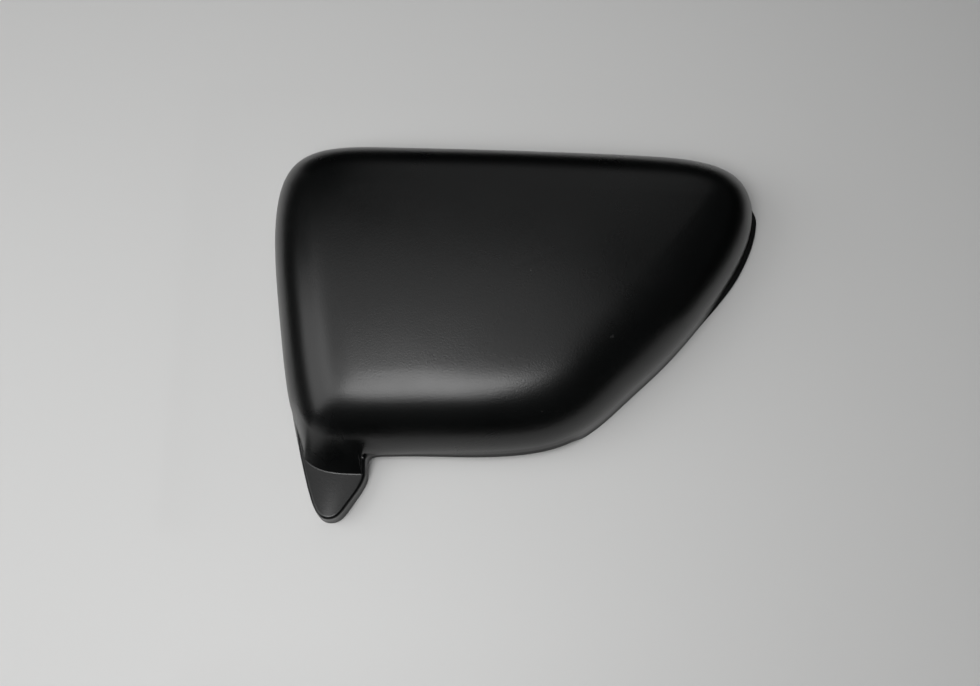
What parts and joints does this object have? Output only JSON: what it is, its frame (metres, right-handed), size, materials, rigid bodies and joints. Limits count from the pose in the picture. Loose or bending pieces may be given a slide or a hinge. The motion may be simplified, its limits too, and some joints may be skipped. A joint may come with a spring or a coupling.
{
  "type": "motorcycle side cover",
  "caption": "Domed satin-black moulded side cover for a motorcycle, with a lower locating tab, a raised lower rim and push-in pegs on its hidden side.",
  "frame": {"origin": "under the middle of the cover's box, on the plane that the rim rests on", "axes": "+X along the cover towards its rounded nose, +Y towards its long straight edge, +Z out of the domed face"},
  "size_m": [0.298, 0.2317, 0.054],
  "materials": {
    "moulded_shell": "satin black moulded ABS with a very fine grain"
  },
  "bodies": {
    "root": {"side_cover": "moulded_shell"}
  },
  "joints": []
}
